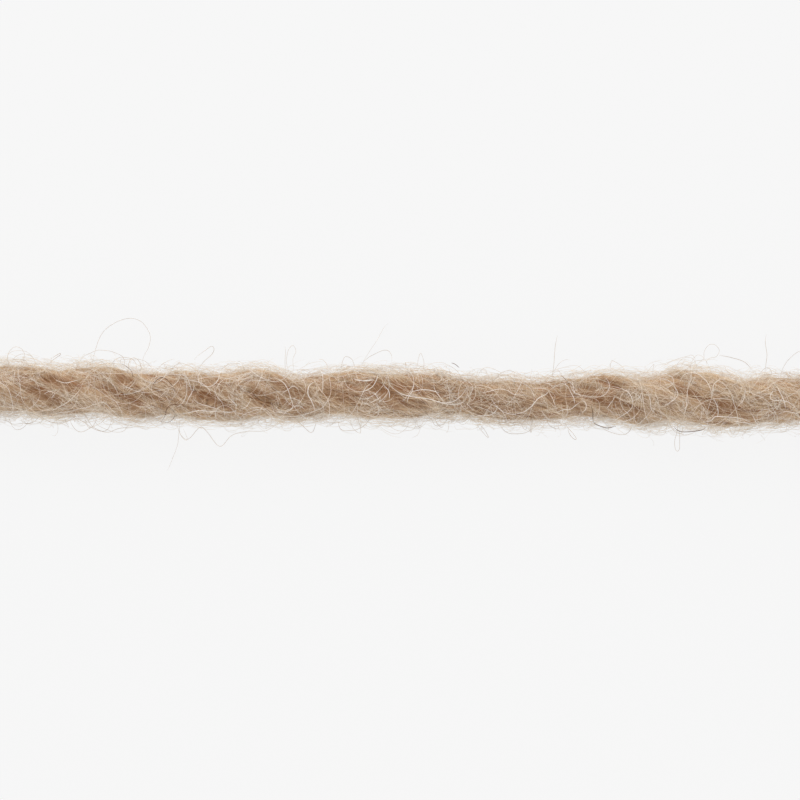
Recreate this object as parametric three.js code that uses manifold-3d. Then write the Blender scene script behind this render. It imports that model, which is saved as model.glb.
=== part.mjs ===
// Soft three-ply yak yarn: one length of it, cut at both ends and lying straight on a flat surface.
//
// Millimetres, +Z up. The strand runs along X and its plies turn right-handed round it (Z twist).
// The origin is on the surface that it rests on, at the middle of its length and width.
import * as THREE from 'three';
import { mergeVertices } from 'three/addons/utils/BufferGeometryUtils.js';
import Module from 'manifold-3d';

// The strand.
const STRAND_LENGTH = 52;
const STRAND_WIDTH = 2.6;        // over the plies, before the unevenness below
const TOUCHDOWN_DEPTH = 0.12;    // how far its lowest points are pressed flat by its own weight

// A ply.
const PLY_ORBIT = 0.66;          // from the strand's axis to the ply's own
const PLY_RADIUS = 0.62;         // on its rounded outer side
const PLY_GAP = 0.34;            // between the flanks of two neighbours, measured across the strand
const FLANK_ANGLE = Math.PI / 3; // each of three plies has a third of a turn, half of it on either side
const FLANK_SHARPNESS = 12;      // how crisply the rounded side turns into the flanks
const PLY_SIDES = 16;            // facets round it
const PLY_STEPS = 80;            // sections along it

// How unevenly the soft strand lies, a row for each station along it: the turns of twist up to there,
// its width, how far it strays sideways, and how full each ply is.
const STATIONS = [
  { at: -26, turn: -0.17, width: 2.66, stray: 0.30, plyA: 1.00, plyB: 1.00, plyC: 1.00 },
  { at: -20, turn: 0.24, width: 2.74, stray: 0.25, plyA: 1.10, plyB: 0.95, plyC: 1.00 },
  { at: -16, turn: 0.58, width: 2.66, stray: 0.14, plyA: 1.00, plyB: 1.04, plyC: 1.00 },
  { at: -12, turn: 0.94, width: 2.52, stray: 0.00, plyA: 0.97, plyB: 1.12, plyC: 1.10 },
  { at: -8, turn: 1.24, width: 2.66, stray: -0.04, plyA: 0.90, plyB: 1.06, plyC: 1.10 },
  { at: -4, turn: 1.60, width: 2.62, stray: -0.04, plyA: 0.88, plyB: 0.92, plyC: 0.90 },
  { at: 0, turn: 1.85, width: 2.70, stray: -0.06, plyA: 1.02, plyB: 1.00, plyC: 0.90 },
  { at: 4, turn: 2.13, width: 2.46, stray: -0.19, plyA: 0.97, plyB: 0.90, plyC: 1.10 },
  { at: 8, turn: 2.30, width: 2.40, stray: -0.28, plyA: 0.88, plyB: 0.88, plyC: 0.88 },
  { at: 12, turn: 2.52, width: 2.72, stray: -0.27, plyA: 0.92, plyB: 1.02, plyC: 1.12 },
  { at: 16, turn: 2.80, width: 2.76, stray: -0.28, plyA: 0.93, plyB: 1.12, plyC: 0.98 },
  { at: 20, turn: 2.98, width: 2.66, stray: -0.32, plyA: 0.98, plyB: 1.06, plyC: 1.02 },
  { at: 26, turn: 3.38, width: 2.60, stray: -0.36, plyA: 1.00, plyB: 1.00, plyC: 1.00 },
];

// The curve that passes through one column of the table.
function stationCurve(column) {
  return new THREE.SplineCurve(STATIONS.map((row) => new THREE.Vector2(row.at, row[column])));
}

const curves = Object.fromEntries(
  ['turn', 'width', 'stray', 'plyA', 'plyB', 'plyC'].map((column) => [column, stationCurve(column)]),
);

// The value of a column at any place along the strand.
function station(column, along) {
  const row = STATIONS.findLastIndex((entry) => entry.at <= along);
  const from = THREE.MathUtils.clamp(row, 0, STATIONS.length - 2);
  const share = (along - STATIONS[from].at) / (STATIONS[from + 1].at - STATIONS[from].at);
  return curves[column].getPoint((from + share) / (STATIONS.length - 1)).y;
}

const PLIES = [
  { name: 'ply_a', column: 'plyA' },
  { name: 'ply_b', column: 'plyB' },
  { name: 'ply_c', column: 'plyC' },
];

// A ply's place round the strand, its distance from the strand's axis and its own radius.
function plySize(number, along) {
  const swell = station('width', along) / STRAND_WIDTH;
  return {
    angle: 2 * Math.PI * (station('turn', along) + number / PLIES.length),
    orbit: PLY_ORBIT * swell,
    radius: PLY_RADIUS * swell * station(PLIES[number].column, along),
  };
}

// How high the strand's axis lies: it settles on whichever ply is underneath.
function axisHeight(along) {
  let carried = 0;
  let depth = 0;
  for (let number = 0; number < PLIES.length; number++) {
    const { angle, orbit, radius } = plySize(number, along);
    const load = Math.exp(-4 * Math.sin(angle));
    carried += load;
    depth += load * (orbit + radius);
  }
  return depth / carried - TOUCHDOWN_DEPTH;
}

// How far a ply's surface is from its own axis, in a direction given as an angle from straight outwards:
// a round outer side, and two flat flanks that meet in a blunt edge near the strand's axis.
function plyReach(direction, orbit, radius) {
  const flankDistance = orbit * Math.sin(FLANK_ANGLE) - PLY_GAP / 2;
  const nearness = [
    1 / radius,
    Math.max(0, Math.sin(direction - FLANK_ANGLE)) / flankDistance,
    Math.max(0, Math.sin(-direction - FLANK_ANGLE)) / flankDistance,
  ];
  const sum = nearness.reduce((total, near) => total + near ** FLANK_SHARPNESS, 0);
  return sum ** (-1 / FLANK_SHARPNESS);
}

// A closed unit cylinder whose height becomes the strand's length. Each of its sections keeps square
// to the strand and takes the ply's outline, so both ends are cut square.
function plyGeometry(number) {
  const unit = new THREE.CylinderGeometry(1, 1, 1, PLY_SIDES, PLY_STEPS);
  const corners = unit.getAttribute('position');
  for (let i = 0; i < corners.count; i++) {
    const along = corners.getY(i) * STRAND_LENGTH;
    const { angle, orbit, radius } = plySize(number, along);
    const direction = Math.atan2(-corners.getZ(i), corners.getX(i));
    const reach = Math.hypot(corners.getX(i), corners.getZ(i)) * plyReach(direction, orbit, radius);
    corners.setXYZ(
      i,
      along,
      station('stray', along) + orbit * Math.cos(angle) + reach * Math.cos(angle + direction),
      axisHeight(along) + orbit * Math.sin(angle) + reach * Math.sin(angle + direction),
    );
  }
  return unit;
}

const solids = await Module();
solids.setup();

// The same shape without what would lie below the surface, which leaves a flat spot at each touchdown.
function pressedFlat(geometry) {
  geometry.deleteAttribute('normal');
  geometry.deleteAttribute('uv');
  const merged = mergeVertices(geometry, 1e-4);
  const whole = new solids.Manifold(new solids.Mesh({
    numProp: 3,
    vertProperties: merged.getAttribute('position').array,
    triVerts: new Uint32Array(merged.index.array),
  }));
  const kept = whole.trimByPlane([0, 0, 1], 0).getMesh();
  const pressed = new THREE.BufferGeometry();
  pressed.setAttribute('position', new THREE.BufferAttribute(kept.vertProperties, 3));
  pressed.setIndex(new THREE.BufferAttribute(kept.triVerts, 1));
  pressed.computeVertexNormals();
  return pressed;
}

const yarn = new THREE.Group();
PLIES.forEach(({ name }, number) => {
  // Undyed carded yak and wool fibre: matt, warm beige-brown.
  const yakFibre = new THREE.MeshStandardMaterial({ color: 0xac957d, roughness: 0.95, metalness: 0 });
  const ply = new THREE.Mesh(pressedFlat(plyGeometry(number)), yakFibre);
  ply.name = name;
  yarn.add(ply);
});

export default yarn;
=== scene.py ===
import math
from functools import partial

import bpy
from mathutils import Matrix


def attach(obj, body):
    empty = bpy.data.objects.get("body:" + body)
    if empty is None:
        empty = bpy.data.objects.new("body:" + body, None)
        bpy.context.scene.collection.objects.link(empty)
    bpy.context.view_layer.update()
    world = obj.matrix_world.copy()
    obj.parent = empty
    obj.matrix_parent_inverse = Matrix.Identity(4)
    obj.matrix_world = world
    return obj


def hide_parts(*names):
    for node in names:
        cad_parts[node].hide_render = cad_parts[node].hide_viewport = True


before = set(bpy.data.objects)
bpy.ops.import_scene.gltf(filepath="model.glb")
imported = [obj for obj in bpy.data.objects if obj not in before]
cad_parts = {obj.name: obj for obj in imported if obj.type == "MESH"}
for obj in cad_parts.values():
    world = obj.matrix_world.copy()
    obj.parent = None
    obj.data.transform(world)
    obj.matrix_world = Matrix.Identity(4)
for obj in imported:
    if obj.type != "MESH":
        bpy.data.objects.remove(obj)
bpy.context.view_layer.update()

mm = 0.001


def shown(sockets, name=None):
    # a node keeps hidden sockets for its other data types
    return next(s for s in sockets if s.enabled and name in (None, s.name))


def addNode(tree, kind, inputs=None, **settings):
    # an input is a value, or the socket or node that it comes from
    node = tree.nodes.new(kind)
    for name, value in settings.items():
        setattr(node, name, value)
    for name, value in (inputs or {}).items():
        socket = node.inputs[name] if isinstance(name, int) else shown(node.inputs, name)
        if isinstance(value, bpy.types.Node):
            value = shown(value.outputs)
        if isinstance(value, bpy.types.NodeSocket):
            tree.links.new(value, socket)
        else:
            socket.default_value = value
    return node


def emptyTree(owner):
    # empties the nodes of a material or the world, and returns what adds a node there
    owner.use_nodes = True
    owner.node_tree.nodes.clear()
    return partial(addNode, owner.node_tree)


def makeTree(name, inputs, outputs):
    # a tree with named sockets, what adds a node to it, and what it is given
    tree = bpy.data.node_groups.new(name, "GeometryNodeTree")
    for way, sockets in (("INPUT", inputs), ("OUTPUT", outputs)):
        for label, kind in sockets.items():
            tree.interface.new_socket(label, in_out=way, socket_type="NodeSocket" + kind)
    add = partial(addNode, tree)
    return tree, add, add("NodeGroupInput").outputs


def makeModifierTree(name, sizes):
    # a tree that runs on a guide, with one named input for each size
    kinds = {int: "Int", float: "Float", bpy.types.Material: "Material"}
    inputs = {label: kinds[type(value)] for label, value in sizes.items()}
    tree, add, given = makeTree(name, {"Geometry": "Geometry", **inputs}, {"Geometry": "Geometry"})
    tree.is_modifier = True
    return tree, add, given


def placeObject(name, data):
    made = bpy.data.objects.new(name, data)
    bpy.context.scene.collection.objects.link(made)
    return made


def runTree(guide, tree, sizes, name):
    # the tree's result on this guide, as a plain mesh object
    holder = placeObject(guide.name, guide.data)
    modifier = holder.modifiers.new(tree.name, "NODES")
    modifier.node_group = tree
    for item in tree.interface.items_tree:
        if item.in_out == "INPUT" and item.name in sizes:
            modifier[item.identifier] = sizes[item.name]
    evaluated = holder.evaluated_get(bpy.context.evaluated_depsgraph_get())
    mesh = bpy.data.meshes.new_from_object(evaluated)
    mesh.name = name
    holder.modifiers.clear()
    bpy.data.objects.remove(holder)
    return placeObject(name, mesh)


def joinPieces(parts, name):
    with bpy.context.temp_override(active_object=parts[0], selected_editable_objects=parts):
        bpy.ops.object.join()
    parts[0].name = name
    return parts[0]


def colour(hexCode):
    # sRGB hex to the linear values that sockets take
    parts = [int(hexCode[i:i + 2], 16) / 255 for i in (1, 3, 5)]
    return (*[p / 12.92 if p <= 0.04045 else ((p + 0.055) / 1.055) ** 2.4 for p in parts], 1.0)


# millimetres; the same stations as the solids
strand = {"length": 52, "width": 2.6, "touchdown": 0.12, "plyOrbit": 0.66, "plyRadius": 0.62,
          "lineStep": 0.2, "settling": 4,  # how much more of the strand's weight the lowest ply carries
          "core": 0.895}  # the packed fibre ends inside the solids, and the loose fibre fills the rest
stations = [dict(zip(("at", "turn", "width", "stray", "plyA", "plyB", "plyC"), row)) for row in (
    (-26, -0.17, 2.66, 0.30, 1.00, 1.00, 1.00),
    (-20, 0.24, 2.74, 0.25, 1.10, 0.95, 1.00),
    (-16, 0.58, 2.66, 0.14, 1.00, 1.04, 1.00),
    (-12, 0.94, 2.52, 0.00, 0.97, 1.12, 1.10),
    (-8, 1.24, 2.66, -0.04, 0.90, 1.06, 1.10),
    (-4, 1.60, 2.62, -0.04, 0.88, 0.92, 0.90),
    (0, 1.85, 2.70, -0.06, 1.02, 1.00, 0.90),
    (4, 2.13, 2.46, -0.19, 0.97, 0.90, 1.10),
    (8, 2.30, 2.40, -0.28, 0.88, 0.88, 0.88),
    (12, 2.52, 2.72, -0.27, 0.92, 1.02, 1.12),
    (16, 2.80, 2.76, -0.28, 0.93, 1.12, 0.98),
    (20, 2.98, 2.66, -0.32, 0.98, 1.06, 1.02),
    (26, 3.38, 2.60, -0.36, 1.00, 1.00, 1.00),
)]
plies = ["plyA", "plyB", "plyC"]


def station(column, along):
    # a smooth curve through one column of the table
    row = max(0, min(len(stations) - 2, sum(s["at"] <= along for s in stations) - 1))
    a, b, c, d = [stations[max(0, min(len(stations) - 1, row + i))][column] for i in (-1, 0, 1, 2)]
    t = (along - stations[row]["at"]) / (stations[row + 1]["at"] - stations[row]["at"])
    leave, arrive = (c - a) / 2, (d - b) / 2
    cubed, squared = 2 * b - 2 * c + leave + arrive, 3 * c - 3 * b - 2 * leave - arrive
    return (cubed * t + squared) * t * t + leave * t + b


def plySize(number, along):
    swell = station("width", along) / strand["width"]
    angle = 2 * math.pi * (station("turn", along) + number / len(plies))
    return angle, strand["plyOrbit"] * swell, strand["plyRadius"] * swell * station(plies[number], along)


def axisHeight(along):
    # the strand settles on whichever ply is underneath
    sizes = [plySize(number, along) for number in range(len(plies))]
    loads = [math.exp(-strand["settling"] * math.sin(angle)) for angle, _, _ in sizes]
    reach = sum(load * (orbit + radius) for load, (_, orbit, radius) in zip(loads, sizes))
    return reach / sum(loads) - strand["touchdown"]


# where the soft fibre swells, thins or strays over a shorter stretch: a share of the width, and millimetres
bumps = [dict(zip(("at", "over", "wider", "aside"), row)) for row in (
    (-14.2, 2.6, 0.06, 0.00), (-7.9, 1.4, 0.07, 0.00), (-5.7, 1.2, 0.00, -0.11), (-4.4, 1.2, -0.06, 0.00),
    (0.1, 1.3, 0.03, 0.06), (3.2, 1.2, -0.19, 0.00), (6.7, 2.0, 0.00, -0.12), (10.2, 0.9, 0.00, 0.17),
    (13.8, 1.0, 0.04, 0.05), (15.6, 1.2, 0.12, 0.00), (17.3, 0.9, 0.00, -0.13), (18.4, 0.7, 0.00, 0.13),
)]


def bumpAt(column, along):
    return sum(bump[column] * math.exp(-((along - bump["at"]) / bump["over"]) ** 2) for bump in bumps)


def middleOf(along):
    return station("stray", along) + bumpAt("aside", along)


def packedSize(number, along):
    # a ply's packed fibre: its place round the strand, its distance from the axis and its radius
    angle, orbit, radius = plySize(number, along)
    fullness = strand["core"] * (1 + bumpAt("wider", along))
    return angle, fullness * orbit, fullness * radius


# where the outer wisps part and the inside of the strand shows, which painted shade also darkens: from one
# place to another, along and across, and how high above the strand the line runs, which makes the hollow
# fainter; millimetres
hollowLines = [
    ((-18.2, 0.25), (-17.1, -0.35), 0.0), ((-17.4, 0.75), (-15.9, 0.45), 0.1),
    ((-13.9, 0.85), (-13.4, 0.75), 0.2), ((-14.7, 0.3), (-12.9, -0.5), 0.15),
    ((-10.1, 0.25), (-8.5, -0.6), 0.0), ((-7.3, 0.05), (-6.5, -0.45), 0.0), ((-6.2, 0.6), (-4.6, -0.1), 0.12),
    ((-3.6, 0.15), (-2.2, -0.35), 0.0), ((-1.3, 0.5), (-0.2, -0.15), 0.0), ((-0.1, 0.45), (1.9, 0.1), 0.0),
    ((0.0, -0.4), (1.1, -0.6), 0.15), ((2.8, -0.15), (5.0, -0.5), 0.2), ((6.2, -0.45), (7.0, -0.8), 0.15),
    ((7.6, 0.1), (8.7, -0.45), 0.0), ((7.5, -0.2), (8.3, -0.3), 0.0), ((9.2, 0.05), (10.0, -0.45), 0.0),
    ((10.1, 0.8), (10.9, 0.35), 0.1), ((10.6, -0.3), (11.9, -0.8), 0.15), ((13.8, 0.3), (14.6, -0.15), 0.25),
    ((15.6, -0.9), (16.3, -1.1), 0.15), ((15.2, -0.3), (17.6, -1.0), 0.3),
]
leastRise = 0.1  # square millimetres


def aboveAxis(fromAxis):
    # how far the strand's round top is above its axis, with a little left beyond its edge
    return math.sqrt(max(leastRise, (strand["core"] * strand["width"] / 2) ** 2 - fromAxis ** 2))


def makeGuide(name, number=None):
    # a line along the strand, or along one ply, with the direction and radius that fibres are laid by
    points, angles, radii, axis = [], [], [], []
    steps = round(strand["length"] / strand["lineStep"])
    for i in range(steps + 1):
        along = strand["length"] * (i / steps - 0.5)
        across, height = middleOf(along), axisHeight(along)
        axis += [along * mm, across * mm, height * mm]
        if number is None:
            sizes = [packedSize(k, along) for k in range(len(plies))]
            angle = 2 * math.pi * station("turn", along)
            radius = sum(orbit + ply for _, orbit, ply in sizes) / len(plies)
        else:
            angle, orbit, radius = packedSize(number, along)
            across += orbit * math.cos(angle)
            height += orbit * math.sin(angle)
        points.append((along * mm, across * mm, height * mm))
        angles.append(angle)
        radii.append(radius * mm)
    edges = [(i, i + 1) for i in range(steps)]
    for start, stop, above in hollowLines:
        edges.append((len(points), len(points) + 1))
        for along, across in (start, stop):
            height = axisHeight(along) + aboveAxis(across - middleOf(along)) + above
            points.append((along * mm, across * mm, height * mm))
    spare = len(points) - len(angles)
    mesh = bpy.data.meshes.new(name)
    mesh.from_pydata(points, edges, [])
    for label, kind, part, values in (
            ("outward", "FLOAT", "value", angles + [0.0] * spare),
            ("reach", "FLOAT", "value", radii + [0.0] * spare),
            ("axis", "FLOAT_VECTOR", "vector", axis + [0.0] * 3 * spare),
            ("hollow", "BOOLEAN", "value", [False] * len(angles) + [True] * spare)):
        mesh.attributes.new(label, kind, "POINT").data.foreach_set(part, values)
    return bpy.data.objects.new(name, mesh)


strandGuide = makeGuide("strandLine")
plyGuides = [makeGuide(f"{ply}Line", number) for number, ply in enumerate(plies)]
print("guides")

# a body's sides fill the map up to one column, and its cut ends lie past another, with a margin
onMap = {"sides": 0.93, "between": 0.935, "ends": 0.94, "margin": 0.02}
drier, smoother = 0.1, -0.1  # how much the darkest and the palest fibre differ from a look's roughness


def finishFibre(add, look, shade, colours, **more):
    # carded fibre is dry and hardly shines, and light passes a little way into it
    dry = add("ShaderNodeMapRange", {
        "Value": shade, "To Min": look["roughness"] + drier, "To Max": look["roughness"] + smoother})
    surface = add("ShaderNodeBsdfPrincipled", {
        "Base Color": colours, "Roughness": dry, "Specular IOR Level": look["specular"],
        "Subsurface Weight": 1.0, "Subsurface Radius": (1.0, 1.0, 1.0), "Subsurface Scale": look["depth"],
        **more})
    add("ShaderNodeOutputMaterial", {"Surface": surface})


def makeCardedFibre(name, look):
    # carded yak and wool fibre: a hair takes its colour from its column on the map, its own tone with painted
    # shade, darker further in and paler further out; a soft dry sheen and no gloss
    material = bpy.data.materials.new(name)
    add = emptyTree(material)
    place = add("ShaderNodeUVMap", uv_map="OFBake")
    split = add("ShaderNodeSeparateXYZ", {"Vector": place})
    ramp = add("ShaderNodeValToRGB", {"Fac": split.outputs["X"]})
    while len(ramp.color_ramp.elements) < len(look["shades"]):
        ramp.color_ramp.elements.new(0.5)
    for i, (element, shade) in enumerate(zip(ramp.color_ramp.elements, look["shades"])):
        element.position = i / (len(look["shades"]) - 1)
        element.color = colour(shade)
    finishFibre(add, look, split.outputs["X"], ramp)
    return material


def makeCardedMass(name, look):
    # the imported inside of a carded ply: hairs too many to tell apart, with painted shade that makes it
    # darker and more red further in and where it is bare
    material = bpy.data.materials.new(name)
    add = emptyTree(material)
    place = add("ShaderNodeUVMap", uv_map="OFBake")
    # at the cut ends hairs are seen end on
    column = add("ShaderNodeSeparateXYZ", {"Vector": place}).outputs["X"]
    atEnd = add("ShaderNodeMath", {0: column, 1: onMap["between"]}, operation="GREATER_THAN")
    grain = add("ShaderNodeMix", {"Factor": atEnd, "A": look["streaks"], "B": look["tips"]},
                data_type="VECTOR")
    stretch = add("ShaderNodeVectorMath", {0: place, 1: shown(grain.outputs)}, operation="MULTIPLY")
    hairs = add("ShaderNodeTexNoise", {"Vector": stretch, "Scale": 1.0, "Detail": 5.0, "Roughness": 0.6})
    deep = add("ShaderNodeAttribute", attribute_name="deep")
    # painted shade: the stored amount moves the colour towards the darker, more red end of the ramp
    toneLessPaintedShade = add("ShaderNodeMath", {0: deep.outputs["Fac"], 1: -look["paintedShadeRedder"], 2: shown(hairs.outputs)},
                  operation="MULTIPLY_ADD")
    ramp = add("ShaderNodeValToRGB", {"Fac": toneLessPaintedShade})
    for element, (position, shade) in zip(ramp.color_ramp.elements, look["shades"]):
        element.position, element.color = position, colour(shade)
    relief = add("ShaderNodeBump", {"Height": shown(hairs.outputs), "Distance": look["relief"]})
    finishFibre(add, look, shown(hairs.outputs), ramp, **{
        "Normal": relief, "Sheen Weight": look["sheen"], "Sheen Roughness": look["sheenRoughness"],
        "Sheen Tint": colour(look["sheenTint"])})
    return material


# streaks and tips: what the whole map covers over the size of one of them, lengthwise and round, in mm;
# single fibres are too fine to show, so a streak is a small bundle of them
massLook = {"shades": [(0.1, "#9D7658"), (0.6, "#CBB193")], "streaks": (55.8 / 0.93, 15.3 / 0.17, 1.0),
            "tips": (19.8 / 0.055, 4.95 / 0.055, 1.0), "paintedShadeRedder": 0.4, "roughness": 0.85, "specular": 0.05,
            "sheen": 0.35, "sheenRoughness": 0.45, "sheenTint": "#F0E2D0", "depth": 0.03 * mm,
            "relief": 0.04 * mm}
laidLook = {"shades": ["#A8835F", "#C3A583", "#D5BDA0", "#E3D1BA", "#ECDFCF"],
            "roughness": 0.8, "specular": 0.1, "depth": 0.018 * mm}
looseLook = {"shades": ["#B08A68", "#DCCAB8", "#EEE5DC", "#F6F1EB"],
             "roughness": 0.6, "specular": 0.2, "depth": 0.018 * mm}
haloLook = {"shades": ["#BCA083", "#D3BEA5", "#E3D7C7", "#EFE7DC"],
            "roughness": 0.7, "specular": 0.15, "depth": 0.018 * mm}
# greyer than the loose fibre: painted shade, for how dark thin hairs look against the white
flyLook = {"shades": ["#B08A68", "#BFA78E", "#C3B5A4", "#CDC0B0"],
           "roughness": 0.6, "specular": 0.2, "depth": 0.018 * mm}
darkLook = {"shades": ["#52331D", "#6A4930", "#7E5D42"],
            "roughness": 0.6, "specular": 0.2, "depth": 0.01 * mm}
plyMass = makeCardedMass("yakPlyCardedMass", massLook)  # a soft warm ground between the hairs, with painted shade further in
laidFibre = makeCardedFibre("yakFibreSpunIn", laidLook)  # light and dark streaks, which show the twist, from each hair's own tone and its painted shade
looseFibre = makeCardedFibre("yakFibreLoosePale", looseLook)  # pale threads that stand out one by one
haloFibre = makeCardedFibre("yakFibreFineDown", haloLook)  # a pale haze that softens the outline: its own pale tone, lightened further out by painted light
flyFibre = makeCardedFibre("yakFibreFlyaway", flyLook)  # thin greyish lines against the white, greyed by painted shade
darkFibre = makeCardedFibre("yakFibreDarkGuardHair", darkLook)  # a few coarse brown lines
print("materials")

# a noise sets the clumps, and the hollows have their own lines; a width is the noise's radius round a ply
clumps = {"length": 1.5 * mm, "height": 0.22 * mm, "width": 0.9, "thinBelow": 0.44, "bareBelow": 0.34,
          "thinnest": 0.8, "ownFrom": 4.1, "ownStep": 17.3}
hollow = {"full": 0.15 * mm, "fade": 0.48 * mm, "depth": 0.16 * mm, "ragged": 0.3 * mm,
          "raggedScale": 2.2 / mm}
noiseLow, noiseHigh = 0.3, 0.7  # nearly all of a noise lies between these


def seatRound(add, along, direction, pattern):
    # where a place round a ply reads a noise, so that the pattern meets itself all the way round
    lengthwise = add("ShaderNodeMath", {0: along, 1: pattern["length"]}, operation="DIVIDE")
    cosine = add("ShaderNodeMath", {0: direction}, operation="COSINE")
    sine = add("ShaderNodeMath", {0: direction}, operation="SINE")
    seat = add("ShaderNodeCombineXYZ", {"X": lengthwise, "Y": cosine, "Z": sine})
    return add("ShaderNodeVectorMath", {0: seat, 1: (1.0, pattern["width"], pattern["width"])},
               operation="MULTIPLY")


def makeCardingTree():
    # how far the fibre swells or sinks at a place on a ply, and how bare it is, which also sets painted
    # shade; bodies and hairs share it
    inputs = {"Hollow lines": "Geometry", "Place": "Vector", "Along": "Float", "Direction": "Float",
              "Number": "Float"}
    tree, add, given = makeTree("carding", inputs, {"Lift": "Float", "Bare": "Float"})
    seat = seatRound(add, given["Along"], given["Direction"], clumps)
    own = add("ShaderNodeMath", {0: given["Number"], 1: clumps["ownStep"], 2: clumps["ownFrom"]},
              operation="MULTIPLY_ADD")
    noise = add("ShaderNodeTexNoise", {
        "Vector": seat, "W": own, "Scale": 1.0, "Detail": 2.0, "Roughness": 0.5}, noise_dimensions="4D")
    swell = add("ShaderNodeMapRange", {
        "Value": shown(noise.outputs), "From Min": noiseLow, "From Max": noiseHigh,
        "To Min": -clumps["height"] / 2, "To Max": clumps["height"] / 2})
    thin = add("ShaderNodeMapRange", {
        "Value": shown(noise.outputs), "From Min": clumps["thinBelow"], "From Max": clumps["bareBelow"],
        "To Min": 0.0, "To Max": clumps["thinnest"]})
    # the hollows have torn edges
    tear = add("ShaderNodeTexNoise", {
        "Vector": given["Place"], "Scale": hollow["raggedScale"], "Detail": 2.0, "Roughness": 0.6})
    tearWay = add("ShaderNodeVectorMath", {0: tear.outputs["Color"], 1: (0.5, 0.5, 0.5)},
                  operation="SUBTRACT")
    torn = add("ShaderNodeVectorMath", {0: tearWay, 1: (hollow["ragged"],) * 3, 2: given["Place"]},
               operation="MULTIPLY_ADD")
    gap = add("GeometryNodeProximity", {"Geometry": given["Hollow lines"], "Sample Position": torn},
              target_element="EDGES")
    inside = add("ShaderNodeMapRange", {
        "Value": gap.outputs["Distance"], "From Min": hollow["full"], "From Max": hollow["fade"],
        "To Min": 1.0, "To Max": 0.0}, interpolation_type="SMOOTHSTEP")
    bare = add("ShaderNodeMath", {0: inside, 1: thin}, operation="MAXIMUM")
    lift = add("ShaderNodeMath", {0: inside, 1: -hollow["depth"], 2: swell}, operation="MULTIPLY_ADD")
    add("NodeGroupOutput", {"Lift": lift, "Bare": bare})
    return tree


cardingTree = makeCardingTree()


def partGuide(add, geometry):
    # the line that the fibres follow, and the hollow lines that come with it
    isHollow = add("GeometryNodeInputNamedAttribute", {"Name": "hollow"}, data_type="BOOLEAN")
    parted = add("GeometryNodeSeparateGeometry", {"Geometry": geometry, "Selection": isHollow}).outputs
    return add("GeometryNodeMeshToCurve", {"Mesh": parted["Inverted"]}), parted["Selection"]


def sampleGuide(add, guide, name, factor, kind="FLOAT"):
    # what the guide carries under this name at a share of its length, and the place there
    value = add("GeometryNodeInputNamedAttribute", {"Name": name}, data_type=kind)
    sample = add("GeometryNodeSampleCurve", {"Curves": guide, "Value": value, "Factor": factor},
                 mode="FACTOR", data_type=kind)
    return shown(sample.outputs, "Value"), sample.outputs["Position"]


def finishTree(add, given, geometry, place, smooth):
    # the piece takes its place on the map, drops what was noted on the way and is made plain
    mapped = add("GeometryNodeStoreNamedAttribute", {"Geometry": geometry, "Name": "OFBake", "Value": place},
                 data_type="FLOAT2", domain="CORNER")
    tidied = add("GeometryNodeRemoveAttribute", {"Geometry": mapped, "Name": "hair*"},
                 pattern_mode="WILDCARD")
    shaded = add("GeometryNodeSetShadeSmooth", {"Geometry": tidied, "Shade Smooth": smooth})
    real = add("GeometryNodeRealizeInstances", {"Geometry": shaded})
    finished = add("GeometryNodeSetMaterial", {"Geometry": real, "Material": given["Material"]})
    add("NodeGroupOutput", {"Geometry": finished})


paintedShadeRange = {"inner": 0.36 * mm, "outer": 1.34 * mm}  # distances from the strand's axis, between which the painted shade goes from darkest to palest


def makeDepthTree():
    # how far out in the strand a place lies, from 0 in the middle to 1 among the outer wisps, which sets the
    # painted shade
    inputs = {"Guide": "Geometry", "Factor": "Float", "Place": "Vector"}
    tree, add, given = makeTree("strandDepth", inputs, {"Outness": "Float"})
    axis, _ = sampleGuide(add, given["Guide"], "axis", given["Factor"], "FLOAT_VECTOR")
    offset = add("ShaderNodeVectorMath", {0: given["Place"], 1: axis}, operation="SUBTRACT")
    across = add("ShaderNodeVectorMath", {0: offset, 1: (0.0, 1.0, 1.0)}, operation="MULTIPLY")
    distance = add("ShaderNodeVectorMath", {0: across}, operation="LENGTH").outputs["Value"]
    outness = add("ShaderNodeMapRange", {
        "Value": distance, "From Min": paintedShadeRange["inner"], "From Max": paintedShadeRange["outer"]})
    add("NodeGroupOutput", {"Outness": outness})
    return tree


depthTree = makeDepthTree()
plyBody = {"Sides": 28, "Steps": 220, "Flank distance": 0.5 * mm, "Blend": 0.1 * mm, "Sink": 0.03 * mm,
           "Hair height": 0.05 * mm, "Share of length": 1.0, "Rounded over": 0.9 * mm, "Drawn in to": 0.6,
           "Number": 0, "Material": plyMass}
bodyCount = len(plies) + 1  # each has its own strip of the map
bodyHairs = (1.2 / mm, 8.0, 8.0)  # how many of them lie along a millimetre, and in the ply's radius
leastLean = 0.01  # keeps a flank that faces away from being divided by nothing
endsBelow = 0.499  # the tube's own map has its sides in the upper half


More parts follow.
